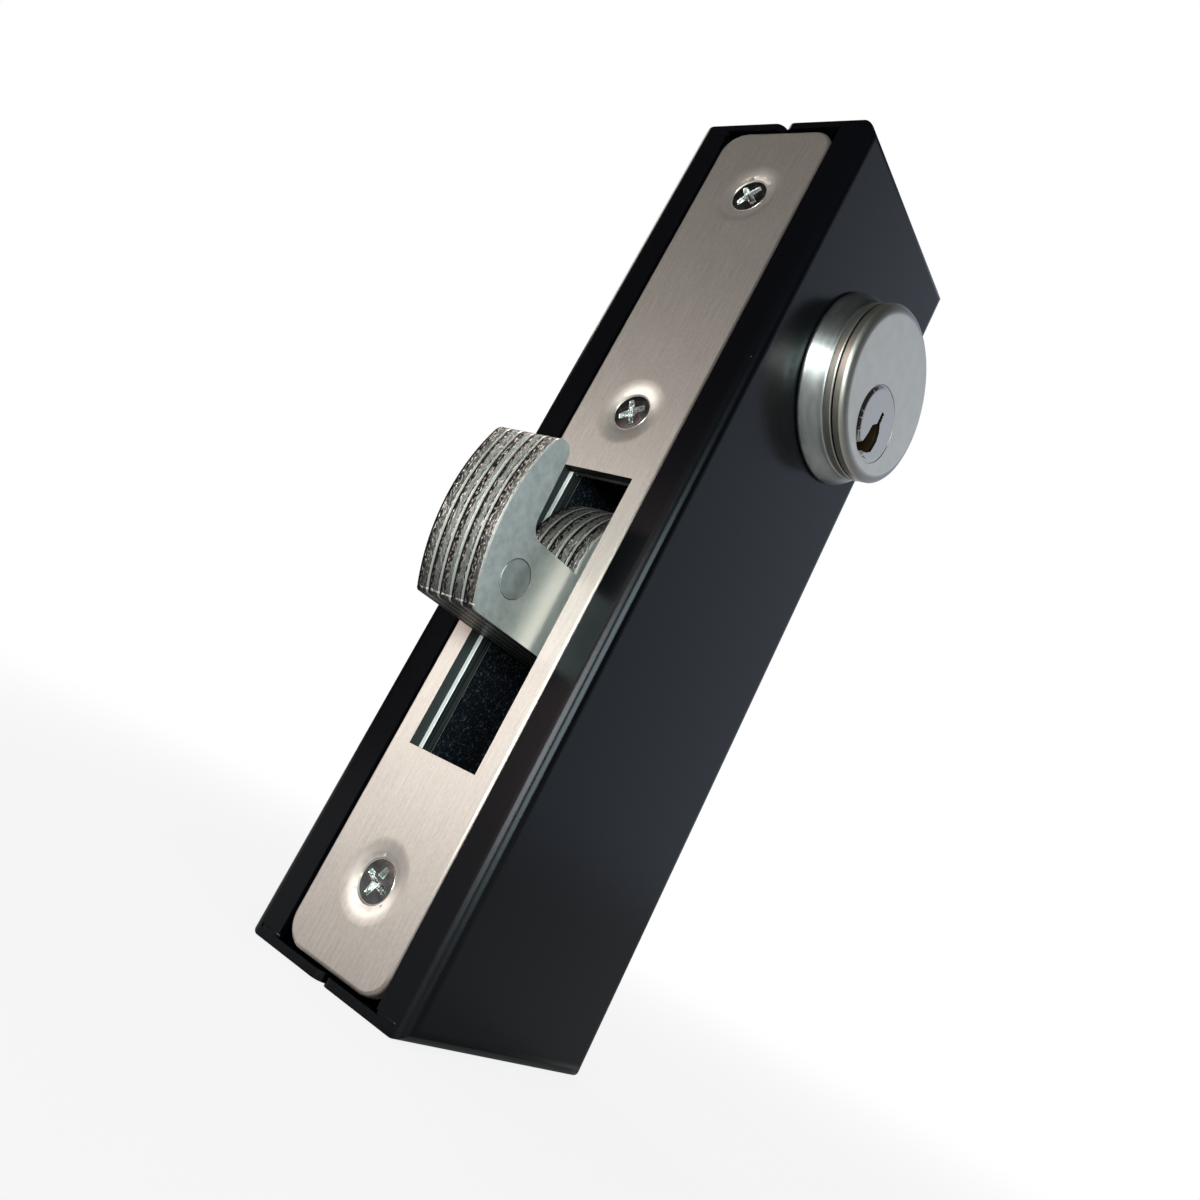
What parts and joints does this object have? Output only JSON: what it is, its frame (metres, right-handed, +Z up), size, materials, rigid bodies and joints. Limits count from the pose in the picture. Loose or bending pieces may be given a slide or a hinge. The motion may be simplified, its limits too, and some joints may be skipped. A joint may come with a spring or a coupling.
{
  "type": "hook lock",
  "caption": "Keyed hook lock in a folded steel box: a laminated swinging hook bolt stands out of a brushed faceplate, worked by a key cylinder on the side through a cam and a slide.",
  "frame": {"origin": "centre of the lock box's bottom end face", "axes": "+Z up along the box towards the key cylinder, -Y out of the faceplate where the hook stands, +X out of the side that carries the key cylinder"},
  "size_m": [0.0505, 0.0721, 0.178],
  "materials": {
    "black_powder_coat": "semi-matte",
    "brushed_faceplate": "brushed lengthwise, satin",
    "zinc_screws": "zinc plated",
    "pressed_case": "dull rolled sheet",
    "guide_steel": "dark oiled",
    "pin_steel": "turned",
    "spring_steel": "hardened",
    "hook_steel": "zinc plated, cut edges rough",
    "hook_rivet_steel": "zinc plated",
    "satin_chrome": "satin",
    "plug_chrome": "polished",
    "cylinder_brass": "machined",
    "screw_black": "black oxide"
  },
  "bodies": {
    "lock": {"lock_box": "black_powder_coat", "upper_tab": "black_powder_coat", "lower_tab": "black_powder_coat", "faceplate": "brushed_faceplate", "faceplate_screws": "zinc_screws", "lock_case": "pressed_case", "case_cover": "pressed_case", "cover_screws": "zinc_screws", "bolt_guides": "guide_steel", "pivot_pin": "pin_steel", "pivot_spacers": "cylinder_brass", "guide_studs": "pin_steel", "friction_spring": "spring_steel", "spring_rivet": "pin_steel", "cylinder_collar": "satin_chrome", "spacer_ring": "satin_chrome", "cylinder_shell": "satin_chrome", "chamber_cap": "cylinder_brass", "driver_pins": "cylinder_brass", "pin_springs": "spring_steel", "cylinder_set_screw": "screw_black"},
    "plug": {"key_plug": "plug_chrome", "key_pins": "cylinder_brass", "plug_cam": "cylinder_brass", "cam_screws": "zinc_screws"},
    "slide": {"drive_slide": "pressed_case", "drive_stud": "pin_steel"},
    "hook": {"hook_plate_1": "hook_steel", "hook_plate_2": "hook_steel", "hook_plate_3": "hook_steel", "hook_plate_4": "hook_steel", "hook_plate_5": "hook_steel", "hook_rivets": "hook_rivet_steel"}
  },
  "joints": [
    {"name": "hook_swing", "type": "hinge", "parent": "lock", "child": "hook", "pos_m": [0, -0.0101, 0.0782], "axis": [1, 0, 0], "range_deg": [0, 90]},
    {"name": "slide_lift", "type": "slide", "parent": "lock", "child": "slide", "axis": [0, 0, 1], "range_m": [0, 0.0187]},
    {"name": "plug_turn", "type": "hinge", "parent": "lock", "child": "plug", "pos_m": [0, 0.0055, 0.1316], "axis": [-1, 0, 0], "range_deg": [0, 84]}
  ],
  "couplings": [
    {"joint": "slide_lift", "follows": "hook_swing", "m_per_rad": 0.011905},
    {"joint": "plug_turn", "follows": "hook_swing", "ratio": 0.93333}
  ]
}
